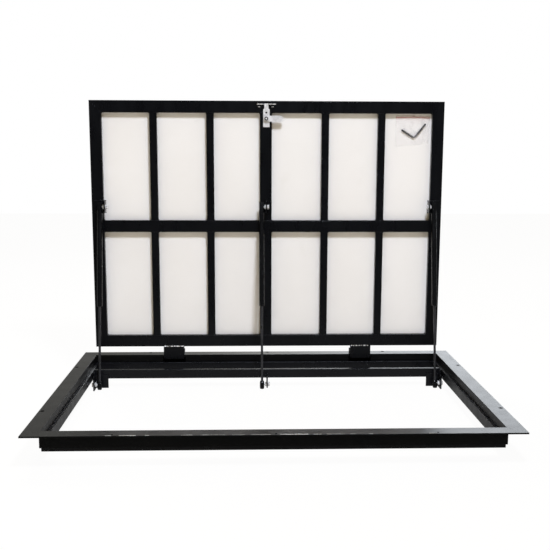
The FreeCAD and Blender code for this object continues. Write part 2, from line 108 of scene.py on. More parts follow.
def paintFinish(name, look):
    material, tree, shader, place = startMaterial(name)
    patches = addNoise(tree, place, look["patches"], 4)
    colour = mixColours(tree, addRange(tree, patches, 0, 1), look["colour"], look["faded"])
    specks = addRange(tree, addNoise(tree, place, look["specks"], 2), 0, look["dust"], 0.66, 0.76)
    colour = mixColours(tree, specks, colour, look["dustColour"])
    tree.links.new(colour, shader.inputs["Base Color"])
    rub = addNoise(tree, place, look["patches"] * 5, 5, (1, 1, 0.35))  # longer along the uprights
    tree.links.new(addRange(tree, rub, look["roughness"] - look["sheenSpread"],
                            look["roughness"] + look["sheenSpread"]), shader.inputs["Roughness"])
    shader.inputs["Specular IOR Level"].default_value = look["specular"]
    peel, wave = addNoise(tree, place, look["peel"], 2), addNoise(tree, place, sprayWave["scale"], 2)
    addBump(tree, shader, [(peel, look["peelStrength"], 0.0004),
                           (wave, sprayWave["strength"], sprayWave["height"])], look["edge"])
    return material


def metalFinish(name, look):
    material, tree, shader, place = startMaterial(name)
    clouds = addNoise(tree, place, look["clouds"], 4)
    tree.links.new(mixColours(tree, addRange(tree, clouds, 0, 1), look["colour"], look["worn"]),
                   shader.inputs["Base Color"])
    lines = addNoise(tree, place, look["lines"], 3, look["lineStretch"])
    tree.links.new(addRange(tree, lines, look["roughness"] - 0.07, look["roughness"] + 0.09),
                   shader.inputs["Roughness"])
    shader.inputs["Metallic"].default_value = look["metallic"]
    addBump(tree, shader, [(lines, look["lineStrength"], 0.0003)])
    return material


def boardFinish(name, look):
    material, tree, shader, place = startMaterial(name)
    clouds = addRange(tree, addNoise(tree, place, look["cloudScale"], 5), 0, 1)
    colour = mixColours(tree, clouds, look["colour"], look["cloud"])
    smudge = addRange(tree, addNoise(tree, place, look["smudgeScale"], 6, (1, 1, 0.5)), 0, look["smudges"],
                      0.6, 0.78)
    colour = mixColours(tree, smudge, colour, look["smudgeColour"])
    flecks = addRange(tree, addNoise(tree, place, look["fleckScale"], 1), 0, look["flecks"], 0.7, 0.8)
    colour = mixColours(tree, flecks, colour, look["fleckColour"])
    split = tree.nodes.new("ShaderNodeSeparateXYZ")
    tree.links.new(place, split.inputs[0])
    paving = addRange(tree, split.outputs["Y"], 0, 1, *look["pavingFrom"])  # the side that carries the paving
    scuffs = addRange(tree, addNoise(tree, place, look["scuffs"], 6), 0, 1, 0.35, 0.7)
    scuffed = mixColours(tree, scuffs, look["pavingColour"], look["pavingWorn"])
    tree.links.new(mixColours(tree, paving, colour, scuffed), shader.inputs["Base Color"])
    tree.links.new(addRange(tree, addNoise(tree, place, look["sheenScale"], 4), *look["roughness"]),
                   shader.inputs["Roughness"])
    shader.inputs["Specular IOR Level"].default_value = look["specular"]
    addBump(tree, shader, [(addNoise(tree, place, look["grain"], 3), look["grainStrength"], 0.0003),
                           (addNoise(tree, place, look["wave"], 3), look["waveStrength"], 0.003)])
    return material


def filmFinish(name, look):
    material, tree, shader, place = startMaterial(name)
    creases = addNoise(tree, place, look["creases"], 5, (1, 1, 0.6))
    split = tree.nodes.new("ShaderNodeSeparateXYZ")
    tree.links.new(place, split.inputs[0])
    top = addRange(tree, split.outputs["Z"], 0, 1, look["tintFrom"], look["tintTo"])
    tree.links.new(mixColours(tree, top, look["colour"], look["tint"]), shader.inputs["Base Color"])
    # crease noise raises the film's opacity, so the creases read whiter: a painted crease highlight
    creaseHighlight = addRange(tree, creases, look["plainAlpha"], look["thick"], 0.5, 0.68)
    more = tree.nodes.new("ShaderNodeMath")
    more.operation = "MULTIPLY_ADD"
    more.inputs[1].default_value = look["topHaze"]
    tree.links.new(top, more.inputs[0])
    tree.links.new(creaseHighlight, more.inputs[2])
    tree.links.new(more.outputs[0], shader.inputs["Alpha"])
    shader.inputs["Roughness"].default_value = look["roughness"]
    addBump(tree, shader, [(creases, look["creaseStrength"], 0.0015)])
    return material


paintLooks = {
    "frame_paint": {"colour": (0.0016, 0.0016, 0.0017), "faded": (0.0028, 0.0028, 0.0028), "patches": 4.0,
                    "specks": 260.0, "dust": 0.12, "dustColour": (0.1, 0.097, 0.09), "roughness": 0.34,
                    "sheenSpread": 0.018, "edge": 0.0016, "specular": 0.3,
                    "peel": 650.0, "peelStrength": 0.22},
    "inner_paint": {"colour": (0.0027, 0.003, 0.0042), "faded": (0.0042, 0.0046, 0.0062), "patches": 5.0,
                    "specks": 300.0, "dust": 0.08, "dustColour": (0.08, 0.08, 0.08), "roughness": 0.3,
                    "sheenSpread": 0.05, "edge": 0.0012, "specular": 0.35,
                    "peel": 700.0, "peelStrength": 0.16},
    "lid_paint": {"colour": (0.0018, 0.0021, 0.0031), "faded": (0.0029, 0.0033, 0.0045), "patches": 6.0,
                  "specks": 320.0, "dust": 0.06, "dustColour": (0.07, 0.07, 0.068), "roughness": 0.3,
                  "sheenSpread": 0.05, "edge": 0.0008, "specular": 0.3,
                  "peel": 800.0, "peelStrength": 0.15},
    "cylinder_paint": {"colour": (0.0028, 0.003, 0.0036), "faded": (0.0042, 0.0044, 0.005), "patches": 9.0,
                       "specks": 350.0, "dust": 0.05, "dustColour": (0.06, 0.06, 0.06), "roughness": 0.26,
                       "sheenSpread": 0.04, "edge": 0.0015, "specular": 0.38,
                       "peel": 500.0, "peelStrength": 0.06}}
metalLooks = {
    "zinc": {"colour": (0.92, 0.925, 0.94), "worn": (0.72, 0.725, 0.73), "clouds": 90.0, "lines": 160.0,
             "lineStretch": (1, 1, 6), "lineStrength": 0.12, "roughness": 0.36, "metallic": 0.4},
    "rod_steel": {"colour": (0.085, 0.085, 0.09), "worn": (0.1, 0.1, 0.106), "clouds": 12.0, "lines": 90.0,
                  "lineStretch": (1, 1, 0.3), "lineStrength": 0.015, "roughness": 0.34, "metallic": 0.8},
    "key_steel": {"colour": (0.01, 0.01, 0.011), "worn": (0.02, 0.02, 0.021), "clouds": 120.0, "lines": 200.0,
                  "lineStretch": (1, 1, 1), "lineStrength": 0.1, "roughness": 0.36, "metallic": 0.6}}
finishes = {name: paintFinish(name, look) for name, look in paintLooks.items()}
finishes.update({name: metalFinish(name, look) for name, look in metalLooks.items()})
finishes["board"] = boardFinish("board", {
    "colour": (0.815, 0.804, 0.79), "cloud": (0.782, 0.768, 0.75), "smudges": 0.25,
    "smudgeColour": (0.66, 0.64, 0.6), "flecks": 0.25, "fleckColour": (0.6, 0.58, 0.54), "cloudScale": 3.2,
    "smudgeScale": 11, "fleckScale": 420, "sheenScale": 60, "roughness": (0.52, 0.72), "specular": 0.25,
    "grain": 700, "grainStrength": 0.12, "wave": 8, "waveStrength": 0.04, "pavingFrom": (0.4345, 0.4362),
    "scuffs": 14, "pavingColour": (0.52, 0.515, 0.5), "pavingWorn": (0.46, 0.453, 0.435)})
# the two alpha values run from plain film to its painted crease highlights
finishes["film"] = filmFinish("film", {"colour": (0.86, 0.85, 0.89), "tint": (0.93, 0.78, 0.78),
                                       "tintFrom": 0.802, "tintTo": 0.83, "topHaze": 0.16,
                                       "creases": 55.0, "plainAlpha": 0.07, "thick": 0.2, "roughness": 0.2,
                                       "creaseStrength": 0.3})
finishes["weld"] = paintFinish("weld", dict(paintLooks["lid_paint"], roughness=0.3, peelStrength=0.05,
                                            faded=(0.014, 0.014, 0.015)))
# near-white, mostly unmetallic copy of the zinc: painted glints for the spots along the weld seams
finishes["paintedGlintMetal"] = metalFinish("paintedGlintMetal", dict(metalLooks["zinc"], roughness=0.3,
                                                    colour=(0.95, 0.95, 0.94), worn=(0.7, 0.7, 0.7),
                                                    metallic=0.2))
# light, glossy copy of the frame paint: a painted highlight for the drops along the front flange's edge
finishes["paintedEdgeHighlight"] = paintFinish("paintedEdgeHighlight", dict(paintLooks["frame_paint"], roughness=0.3, specular=0.6,
                                                      colour=(0.16, 0.16, 0.155), faded=(0.7, 0.7, 0.67)))
# near-black, matt copy of the inner paint: painted shade, laid round the fixing holes and the latch spindle
finishes["paintedShadeRim"] = paintFinish("paintedShadeRim", dict(paintLooks["inner_paint"], roughness=0.6, specular=0.1,
                                                  colour=(0.002, 0.002, 0.0022), faded=(0.003, 0.003, 0.003)))
finishes["sealRed"] = metalFinish("sealRed", {
    "colour": (0.62, 0.04, 0.05), "worn": (0.7, 0.1, 0.1), "clouds": 80.0, "lines": 200.0,
    "lineStretch": (1, 1, 1), "lineStrength": 0.02, "roughness": 0.4, "metallic": 0.0})

for part in frame["record"]["subparts"]:
    slots = nodes[part["node"]].data.materials
    slots.clear()
    slots.append(finishes[part["material_slot"]])
print("finishes made:", len(finishes))


def pointMesh(name, points, edges):
    mesh = bpy.data.meshes.new(name)
    mesh.from_pydata([tuple(p) for p in points], edges, [])
    return mesh


def placePiece(name, mesh, body, replaced=()):
    piece = bpy.data.objects.new(name, mesh)
    bpy.context.scene.collection.objects.link(piece)
    if replaced:
        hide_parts(*replaced)
    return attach(piece, body)


def startTree(name, sizes):
    tree = bpy.data.node_groups.new(name, "GeometryNodeTree")
    tree.interface.new_socket("Geometry", in_out="INPUT", socket_type="NodeSocketGeometry")
    for title, kind in sizes:
        tree.interface.new_socket(title, in_out="INPUT", socket_type=kind)
    tree.interface.new_socket("Geometry", in_out="OUTPUT", socket_type="NodeSocketGeometry")
    return tree, tree.nodes.new("NodeGroupInput"), tree.nodes.new("NodeGroupOutput")


def runTree(name, mesh, tree, values):
    carrier = bpy.data.objects.new(name + "Path", mesh)
    bpy.context.scene.collection.objects.link(carrier)
    modifier = carrier.modifiers.new("build", "NODES")
    modifier.node_group = tree
    for item in tree.interface.items_tree:
        if item.in_out == "INPUT" and item.name in values:
            modifier[item.identifier] = values[item.name]
    ready = carrier.evaluated_get(bpy.context.evaluated_depsgraph_get())
    result = bpy.data.meshes.new_from_object(ready)
    carrier.modifiers.remove(modifier)
    bpy.data.objects.remove(carrier)
    result.name = name
    return result


def chain(tree, source, target, fromName, toName):
    tree.links.new(source.outputs[fromName], target.inputs[toName])


def beadTree():  # flattened drops laid one on the next along each seam
    tree, given, out = startTree("weldBead", [
        ("Pitch", "NodeSocketFloat"), ("Radius", "NodeSocketFloat"), ("Length", "NodeSocketFloat"),
        ("Unevenness", "NodeSocketFloat"), ("Seed", "NodeSocketInt"), ("Metal", "NodeSocketMaterial")])
    add = tree.nodes.new
    curve, spaced = add("GeometryNodeMeshToCurve"), add("GeometryNodeResampleCurve")
    spaced.mode = "LENGTH"
    drop, lay = add("GeometryNodeMeshIcoSphere"), add("GeometryNodeInstanceOnPoints")
    drop.inputs["Subdivisions"].default_value = 2
    tangent, turn = add("GeometryNodeInputTangent"), add("FunctionNodeAlignRotationToVector")
    turn.axis = "X"
    size, unit = add("FunctionNodeRandomValue"), add("ShaderNodeCombineXYZ")
    low, high = add("ShaderNodeMath"), add("ShaderNodeMath")
    low.operation, high.operation = "SUBTRACT", "ADD"
    for edge in (low, high):
        edge.inputs[0].default_value = 1.0
        tree.links.new(given.outputs["Unevenness"], edge.inputs[1])
    scaled = add("ShaderNodeVectorMath")
    scaled.operation = "SCALE"
    unit.inputs["Y"].default_value = unit.inputs["Z"].default_value = 1.0
    real, smooth, paint = (add("GeometryNodeRealizeInstances"), add("GeometryNodeSetShadeSmooth"),
                           add("GeometryNodeSetMaterial"))
    chain(tree, given, curve, "Geometry", "Mesh")
    chain(tree, curve, spaced, "Curve", "Curve")
    chain(tree, given, spaced, "Pitch", "Length")
    chain(tree, spaced, lay, "Curve", "Points")
    chain(tree, given, drop, "Radius", "Radius")
    chain(tree, drop, lay, "Mesh", "Instance")
    chain(tree, tangent, turn, "Tangent", "Vector")
    chain(tree, turn, lay, "Rotation", "Rotation")
    tree.links.new(low.outputs[0], size.inputs[2])
    tree.links.new(high.outputs[0], size.inputs[3])
    chain(tree, given, size, "Seed", "Seed")
    chain(tree, given, unit, "Length", "X")
    tree.links.new(unit.outputs[0], scaled.inputs[0])
    tree.links.new(size.outputs[1], scaled.inputs["Scale"])
    tree.links.new(scaled.outputs[0], lay.inputs["Scale"])
    chain(tree, lay, real, "Instances", "Geometry")
    chain(tree, real, smooth, "Geometry", "Geometry")
    chain(tree, smooth, paint, "Geometry", "Geometry")
    chain(tree, given, paint, "Metal", "Material")
    chain(tree, paint, out, "Geometry", "Geometry")
    return tree


def weldSeams(name, seams, body, size, finish="weld"):  # seams in millimetres
    points = [Vector(p) / 1000 for seam in seams for p in seam]
    edges, start = [], 0
    for seam in seams:
        edges += [(start + k, start + k + 1) for k in range(len(seam) - 1)]
        start += len(seam)
    mesh = runTree(name, pointMesh(name, points, edges), beads,
                   {"Pitch": size["pitch"], "Radius": size["radius"], "Length": size["drop"],
                    "Unevenness": size["uneven"], "Seed": size["seed"], "Metal": finishes[finish]})
    return placePiece(name, mesh, body)


def runsAlong(low, runs, y, z):  # short runs beside each other, each a start and a reach from low
    return [[(low + x, y, z), (low + x + reach, y, z)] for x, reach in runs]


beads = beadTree()
lidGrid = {"front": 412.0, "back": 432.0, "railEdges": ((73.0, 435.0), (475.0, 837.0)),
           "cellEdges": (-560.0, -399.5, -374.5, -208.0, -183.0, -26.5,
                         13.5, 183.0, 208.0, 374.5, 399.5, 560.0)}

cornerWelds = {"inward": 0.6, "frontIn": 1.2, "backIn": 1,
               "pitch": 0.0016, "radius": 0.0016, "drop": 0.7, "uneven": 0.2, "seed": 4}
seams = []
for low, high in lidGrid["railEdges"]:
    for number, x in enumerate(lidGrid["cellEdges"]):
        x += cornerWelds["inward"] if number % 2 == 0 else -cornerWelds["inward"]
        seams += [[(x, lidGrid["front"] + cornerWelds["frontIn"], z),
                   (x, lidGrid["back"] - cornerWelds["backIn"], z)]
                  for z in (low + cornerWelds["inward"], high - cornerWelds["inward"])]
weldSeams("lidCornerWelds", seams, "lid", cornerWelds)

faceWelds = {"in": 0.15, "heights": (73.0, 435.0, 475.0, 837.0),
             "runs": ((-399.0, 24.0), (-207.5, 24.0), (-26.0, 39.0), (183.5, 24.0), (375.0, 24.0)),
             "pitch": 0.0016, "radius": 0.0009, "drop": 0.9, "uneven": 0.2, "seed": 9}
seams = [seam for z in faceWelds["heights"]
         for seam in runsAlong(0, faceWelds["runs"], lidGrid["front"] + faceWelds["in"], z)]
weldSeams("lidFaceWelds", seams, "lid", faceWelds)

armWelds = {"arms": (-328.5, 328.5), "half": 33, "y": 413.2, "z": 33.6,  # clear of the back ledge when shut
            "pitch": 0.0016, "radius": 0.0014, "drop": 0.7, "uneven": 0.1, "seed": 2}
seams = [[(x - armWelds["half"], armWelds["y"], armWelds["z"]),
          (x + armWelds["half"], armWelds["y"], armWelds["z"])] for x in armWelds["arms"]]
weldSeams("hingeArmWelds", seams, "lid", armWelds)

plateWelds = {"plates": ((-590.5, -551.5), (551.5, 590.5), (-6, 13)), "y": 411.5, "heights": (501.6, 542.4),
              "pitch": 0.0019, "radius": 0.0019, "drop": 0.6, "uneven": 0.2, "seed": 6}
seams = [[(low, plateWelds["y"], z), (high, plateWelds["y"], z)]
         for low, high in plateWelds["plates"] for z in plateWelds["heights"]]
weldSeams("bracketWelds", seams, "lid", plateWelds)

ledgeRuns = {"outer": {"first": 5, "step": 96, "half": 14, "y": -425.6, "z": -45.4},
             "side": {"x": 602.3, "starts": (-330, -60, 210), "reach": 30, "z": -24.9},
             "front": {"places": range(-500, 501, 125), "half": 14, "y": -424.3, "z": -24.9},
             "pitch": 0.0015, "radius": 0.0011, "drop": 0.85, "uneven": 0.12, "seed": 3}
outer, side, front = ledgeRuns["outer"], ledgeRuns["side"], ledgeRuns["front"]
seams = [[(x - outer["half"], outer["y"], outer["z"]), (x + outer["half"], outer["y"], outer["z"])]
         for x in (outer["first"] + outer["step"] * k for k in range(-6, 7))]
seams += [[(x, y, side["z"]), (x, y + side["reach"], side["z"])]
          for x in (-side["x"], side["x"]) for y in side["starts"]]
seams += [[(x - front["half"], front["y"], front["z"]), (x + front["half"], front["y"], front["z"])]
          for x in front["places"]]
weldSeams("ledgeWelds", seams, "frame", ledgeRuns)

# light drops along the front flange's edge, painted to stand for the highlight on its rolled edge
edgeRuns = {"runs": ((-430, 12), (-396, 40), (-330, 8), (-240, 26), (-190, 60), (-110, 30), (-62, 46),
                     (10, 70), (96, 18), (130, 44), (190, 12), (236, 9), (392, 9), (404, 5)),
            "y": -468.3, "z": 0.1,
            "pitch": 0.0024, "radius": 0.0011, "drop": 1.4, "uneven": 0.35, "seed": 11}
weldSeams("edgePaintRuns", runsAlong(0, edgeRuns["runs"], edgeRuns["y"], edgeRuns["z"]), "frame",
          edgeRuns, "paintedEdgeHighlight")

barWelds = {"footEnds": (588.5, 544.5), "frontY": 309.6, "backY": 325.4, "footZ": -55.8,
            "centreX": (-6.9, -2.1), "centreY": 309.4, "centreZ": (-55, -41.5),
            "wallX": 592.4, "wallZ": (-28.5, -54),
            "pitch": 0.0019, "radius": 0.0017, "drop": 0.65, "uneven": 0.22, "seed": 8}
seams = [[(side * x, barWelds["frontY"], barWelds["footZ"]) for x in barWelds["footEnds"]]
         for side in (-1, 1)]
seams += [[(x, barWelds["centreY"], z) for z in barWelds["centreZ"]] for x in barWelds["centreX"]]
seams += [[(side * barWelds["wallX"], y, z) for z in barWelds["wallZ"]]
          for side in (-1, 1) for y in (barWelds["frontY"], barWelds["backY"])]
weldSeams("crossbarWelds", seams, "frame", barWelds)

# near-white spots along the hinge arms' tops: painted glints on the weld seams there
armGlintSpots = {"y": 412.5, "rows": (32.4, 33.6, 34.8), "leftStart": -362, "rightStart": 296,
            "left": ((0, 5), (8, 4), (15, 2), (22, 7), (33, 5), (42, 11), (57, 9)),
            "right": ((0, 4), (8, 3), (16, 5), (27, 3), (35, 2), (44, 6), (56, 3)),
            "pitch": 0.0011, "radius": 0.00088, "drop": 0.9, "uneven": 0.03, "seed": 12}
seams = [seam for hand in ("left", "right") for z in armGlintSpots["rows"]
         for seam in runsAlong(armGlintSpots[hand + "Start"], armGlintSpots[hand], armGlintSpots["y"], z)]
weldSeams("armBareSpots", seams, "lid", armGlintSpots, "paintedGlintMetal")

# near-white spots beside the top of the latch strip: painted glints on the backing plate's edges
stripGlintSpots = {"y": 410.9, "z": 866, "leftStart": -36, "left": ((0, 6), (9, 5), (17, 3)),
              "rightStart": 5, "right": ((0, 3), (6, 5), (14, 7)),
              "lowY": 411.2, "lowZ": 857.5, "low": ((-32, 4), (14, 4)),
              "pitch": 0.0022, "radius": 0.0017, "drop": 0.8, "uneven": 0.2, "seed": 5}
seams = [seam for hand in ("left", "right")
         for seam in runsAlong(stripGlintSpots[hand + "Start"], stripGlintSpots[hand],
                               stripGlintSpots["y"], stripGlintSpots["z"])]
seams += runsAlong(0, stripGlintSpots["low"], stripGlintSpots["lowY"], stripGlintSpots["lowZ"])
weldSeams("bareWeldSpots", seams, "lid", stripGlintSpots, "paintedGlintMetal")
print("weld beads laid")


boardScrews = {"face": 437.0, "railX": (-520, -291, 291, 520), "railZ": (53, 455, 857),
               "stileX": (-580, -6.5, 580), "stileZ": (254, 656), "seed": 7, "turn": 1.57,
               "radius": 0.0052, "proud": 0.0009, "recess": 0.0008, "slotHalf": 0.0004, "slotReach": 0.0026,
               "crossProud": 0.00015, "topShare": 0.86, "lift": 0.00005, "around": 24}


def screwHead():  # the screws hold the board down, on the paving side
    r, s, reach = boardScrews["radius"], boardScrews["slotHalf"], boardScrews["slotReach"]
    cross = [(reach, -s), (reach, s), (s, s), (s, reach), (-s, reach), (-s, s), (-reach, s), (-reach, -s),
             (-s, -s), (-s, -reach), (s, -reach), (s, -s)]
    count = boardScrews["around"]
    ring = [(r * math.cos(2 * math.pi * k / count), r * math.sin(2 * math.pi * k / count))
            for k in range(count)]
    top, bottom, share = boardScrews["proud"], boardScrews["lift"], boardScrews["topShare"]
    points = [(x, bottom, z) for x, z in ring] + [(x * share, top, z * share) for x, z in ring]
    points += [(x, top + boardScrews["crossProud"], z) for x, z in cross]
    points += [(x, top - boardScrews["recess"], z) for x, z in cross]
    faces = [(k, (k + 1) % count, count + (k + 1) % count, count + k) for k in range(count)]
    crossAt, floorAt = 2 * count, 2 * count + 12
    nearest = [max(range(12), key=lambda c: cross[c][0] * x + cross[c][1] * z) for x, z in ring]
    for k in range(count):
        after = (k + 1) % count
        faces.append((count + k, count + after, crossAt + nearest[k]))
        if nearest[k] != nearest[after]:
            step = nearest[k]
            while step != nearest[after]:
                following = (step + 1) % 12
                faces.append((count + after, crossAt + following, crossAt + step))
                step = following
    faces += [(crossAt + k, crossAt + (k + 1) % 12, floorAt + (k + 1) % 12, floorAt + k) for k in range(12)]
    faces += [tuple(floorAt + k for k in range(12)), tuple(range(count - 1, -1, -1))]
    mesh = bpy.data.meshes.new("screwHead")
    mesh.from_pydata(points, [], [face[::-1] for face in faces])
    made = bpy.data.objects.new("screwHead", mesh)
    bpy.context.scene.collection.objects.link(made)
    return made


def screwTree():
    tree, given, out = startTree("setPieces", [("Head", "NodeSocketObject"), ("Turn", "NodeSocketFloat"),
                                               ("Seed", "NodeSocketInt"), ("Metal", "NodeSocketMaterial")])
    add = tree.nodes.new
    shape, lay, turn = (add("GeometryNodeObjectInfo"), add("GeometryNodeInstanceOnPoints"),
                        add("FunctionNodeRandomValue"))
    angle, real, paint = (add("ShaderNodeCombineXYZ"), add("GeometryNodeRealizeInstances"),
                          add("GeometryNodeSetMaterial"))
    tree.links.new(given.outputs["Turn"], turn.inputs[3])
    chain(tree, given, shape, "Head", "Object")
    chain(tree, given, lay, "Geometry", "Points")
    chain(tree, shape, lay, "Geometry", "Instance")
    chain(tree, given, turn, "Seed", "Seed")
    tree.links.new(turn.outputs[1], angle.inputs["Y"])
    tree.links.new(angle.outputs[0], lay.inputs["Rotation"])
    chain(tree, lay, real, "Instances", "Geometry")
    chain(tree, real, paint, "Geometry", "Geometry")
    chain(tree, given, paint, "Metal", "Material")
    chain(tree, paint, out, "Geometry", "Geometry")
    return tree


def ringMesh(name, ring):
    steps = ring["steps"]
    points, faces = [], []
    for k in range(steps):
        a = 2 * math.pi * k / steps
        for radius, height in ring["profile"]:
            points.append((radius * math.cos(a) / 1000, radius * math.sin(a) / 1000, height / 1000))
    width = len(ring["profile"])
    for k in range(steps):
        after = (k + 1) % steps
        for c in range(width):
            d = (c + 1) % width
            faces.append((k * width + c, after * width + c, after * width + d, k * width + d))
    mesh = bpy.data.meshes.new(name)
    mesh.from_pydata(points, [], faces)
    return mesh


def placeRings(name, ring, spots, turn, body, finish, seed):
    made = bpy.data.objects.new(name + "Ring", ringMesh(name + "Ring", ring))
    made.data.transform(turn)
    bpy.context.scene.collection.objects.link(made)
    mesh = runTree(name, pointMesh(name + "Spots", [Vector(p) / 1000 for p in spots], []), setPieces,
                   {"Head": made, "Seed": seed, "Metal": finishes[finish], "Turn": 0.0})
    bpy.data.objects.remove(made)
    placePiece(name, mesh, body)


spots = [(x, boardScrews["face"], z) for x in boardScrews["railX"] for z in boardScrews["railZ"]]
spots += [(x, boardScrews["face"], z) for x in boardScrews["stileX"] for z in boardScrews["stileZ"]]
head = screwHead()
setPieces = screwTree()
screwMesh = runTree("boardScrews", pointMesh("screwSpots", [Vector(p) / 1000 for p in spots], []), setPieces,
                    {"Head": head, "Seed": boardScrews["seed"], "Metal": finishes["zinc"],
                     "Turn": boardScrews["turn"]})
bpy.data.objects.remove(head)
placePiece("boardScrews", screwMesh, "lid")
# thin near-black rings on the flange round the fixing holes: painted shade of the holes' insides
rims = {"steps": 20, "profile": ((3.3, 0.02), (6.4, 0.02), (6.1, 0.16), (3.9, 0.1)),
        "sideX": 638, "sideY": 250, "backX": 415, "backY": 460}
holes = [(x, y, 0) for x in (-rims["sideX"], rims["sideX"]) for y in (-rims["sideY"], rims["sideY"])]
holes += [(x, rims["backY"], 0) for x in (-rims["backX"], 0, rims["backX"])]
placeRings("fixingRims", rims, holes, Matrix.Identity(4), "frame", "paintedShadeRim", 1)
# thin near-black ring on the cap nut's face: painted shade of the gap round the spindle
nutShadeRing = {"steps": 24, "profile": ((3.1, 0.02), (6.4, 0.02), (6.2, 0.5), (3.4, 0.5)),
           "place": (-5.5, 399.18, 818)}
placeRings("capNutRing", nutShadeRing, [nutShadeRing["place"]], Matrix.Rotation(math.radians(90), 4, "X"), "latch",
           "paintedShadeRim", 1)
print("board screws, hole rims and nut ring set")


# Moulded ends at the foot of the gas struts.
# Each shape row is a place along the strut and a share of the full width.
strutEnd = {"feet": {"left": -570.0, "centre": -21.5, "right": 570.0}, "ball": (284.0, -70.3),
            "lean": (0.1842, 0.9829), "halfWide": 7.5, "halfDeep": 7.3, "squareness": 3.2,
            "neckSquareness": 2.2, "neckFrom": 0.88, "around": 36,
            "shape": ((-17, 0.5), (-16.4, 0.74), (-14.8, 0.9), (-11.5, 0.99), (-8, 1.0), (4.5, 1.0),
                      (6.8, 0.97), (7.4, 0.86), (8.2, 0.84), (8.8, 0.9), (10.4, 0.9),
                      (11.2, 0.82), (11.5, 0.6))}


def strutFoot(side):
    around = strutEnd["around"]
    middle = Vector((strutEnd["feet"][side], *strutEnd["ball"]))
    along = Vector((0, *strutEnd["lean"]))
    deep = Vector((0, strutEnd["lean"][1], -strutEnd["lean"][0]))
    points, faces = [], []
    for place, size in strutEnd["shape"]:
        power = 2 / (strutEnd["squareness"] if size > strutEnd["neckFrom"] else strutEnd["neckSquareness"])
        for k in range(around):
            a = 2 * math.pi * k / around
            x = math.copysign(abs(math.cos(a)) ** power, math.cos(a)) * strutEnd["halfWide"] * size
            y = math.copysign(abs(math.sin(a)) ** power, math.sin(a)) * strutEnd["halfDeep"] * size
            points.append((middle + Vector((x, 0, 0)) + deep * y + along * place) / 1000)
    rings = len(strutEnd["shape"])
    for r in range(rings - 1):
        for k in range(around):
            a, b = r * around + k, r * around + (k + 1) % around
            faces.append((a, b, b + around, a + around))
    faces.append(tuple(range(around - 1, -1, -1)))
    faces.append(tuple((rings - 1) * around + k for k in range(around)))
    mesh = bpy.data.meshes.new("strutFoot")
    mesh.from_pydata([tuple(p) for p in points], [], faces)
    mesh.materials.append(finishes["cylinder_paint"])
    mesh.polygons.foreach_set("use_smooth", [len(face.vertices) == 4 for face in mesh.polygons])
    return mesh


for side in strutEnd["feet"]:
    placePiece(side + "StrutFoot", strutFoot(side), "strut_%s_lower" % side,
               ["strut_%s_lower_socket" % side])
print("strut feet made")


# Clear bag round the key: two films welded at the edges, puffed out and creased
bag = {"outline": ((439, 727), (500, 731), (552, 738), (556, 829), (498, 833), (437, 831)),
       "back": 431.55, "puff": 6.9, "rim": 0.8, "across": 44, "up": 36, "plump": 1.5, "softness": 0.7,
       "foldDeep": 0.55, "backFold": 0.1, "slowFolds": 0.5, "crossFolds": 0.22, "topFolds": 0.2,
       "sealHeight": 0.93, "sealFrom": 0.02, "sealProud": 0.6, "sealSteps": 40,
       "sealProfile": ((-1.05, -0.55), (-1.5, 0), (-1.05, 0.55), (-0.6, 0))}


def bagPoint(u, v):
    low = [Vector(p) for p in bag["outline"][:3]]
    high = [Vector(p) for p in bag["outline"][:2:-1]]

    def along(row):
        return row[0].lerp(row[1], u * 2) if u < 0.5 else row[1].lerp(row[2], u * 2 - 1)
    return along(low).lerp(along(high), v)


def bagFilm():
    columns, rows = bag["across"], bag["up"]
    points, faces = [], []
    for layer in (0, 1):
        for j in range(rows + 1):
            for i in range(columns + 1):
                u, v = i / columns, j / rows
                place = bagPoint(u, v)
                swell = (min(1, math.sin(math.pi * u) * bag["plump"])
                         * min(1, math.sin(math.pi * min(v / 0.94, 1)) * bag["plump"])) ** bag["softness"]
                fold = (math.sin(23 * u + 9 * v) * math.sin(17 * v - 5 * u) * bag["slowFolds"]
                        + math.sin(51 * u - 31 * v) * bag["crossFolds"]
                        + math.sin(40 * v + 12 * u * u) * bag["topFolds"])
                if layer:
                    depth = bag["back"] - bag["backFold"] * fold * swell
                else:
                    depth = bag["back"] - bag["rim"] - swell * (bag["puff"] + bag["foldDeep"] * fold)
                points.append((place.x / 1000, depth / 1000, place.y / 1000))
    width = columns + 1
    layerSize = width * (rows + 1)
    for j in range(rows):
        for i in range(columns):
            a = j * width + i
            faces.append((a, a + 1, a + width + 1, a + width))
            b = layerSize + a
            faces.append((b, b + width, b + width + 1, b + 1))
    border = list(range(width)) + [j * width + columns for j in range(1, rows + 1)]
    border += [rows * width + i for i in range(columns - 1, -1, -1)]
    border += [j * width for j in range(rows - 1, 0, -1)]
    for k, a in enumerate(border):
        b = border[(k + 1) % len(border)]
        faces.append((a, layerSize + a, layerSize + b, b))
    mesh = bpy.data.meshes.new("keyBag")
    mesh.from_pydata(points, [], faces)
    mesh.materials.append(finishes["film"])
    mesh.polygons.foreach_set("use_smooth", [True] * len(mesh.polygons))
    return mesh


placePiece("keyBag", bagFilm(), "lid", ["key_bag"])


def sealStrip():  # red press seal near the bag's top
    points, faces = [], []
    steps, start = bag["sealSteps"], bag["sealFrom"]
    for k in range(steps + 1):
        place = bagPoint(start + (1 - 2 * start) * k / steps, bag["sealHeight"])
        for dy, dz in bag["sealProfile"]:
            points.append((place.x / 1000, (bag["back"] + dy - bag["sealProud"]) / 1000,
                           (place.y + dz) / 1000))
    for k in range(steps):
        for c in range(4):
            a, b = 4 * k + c, 4 * k + (c + 1) % 4
            faces.append((a, a + 4, b + 4, b))
    faces += [(0, 1, 2, 3), tuple(4 * steps + 3 - c for c in range(4))]
    mesh = bpy.data.meshes.new("bagSeal")
    mesh.from_pydata(points, [], faces)
    mesh.materials.append(finishes["sealRed"])
    return mesh


placePiece("bagSeal", sealStrip(), "lid")
print("key bag made")


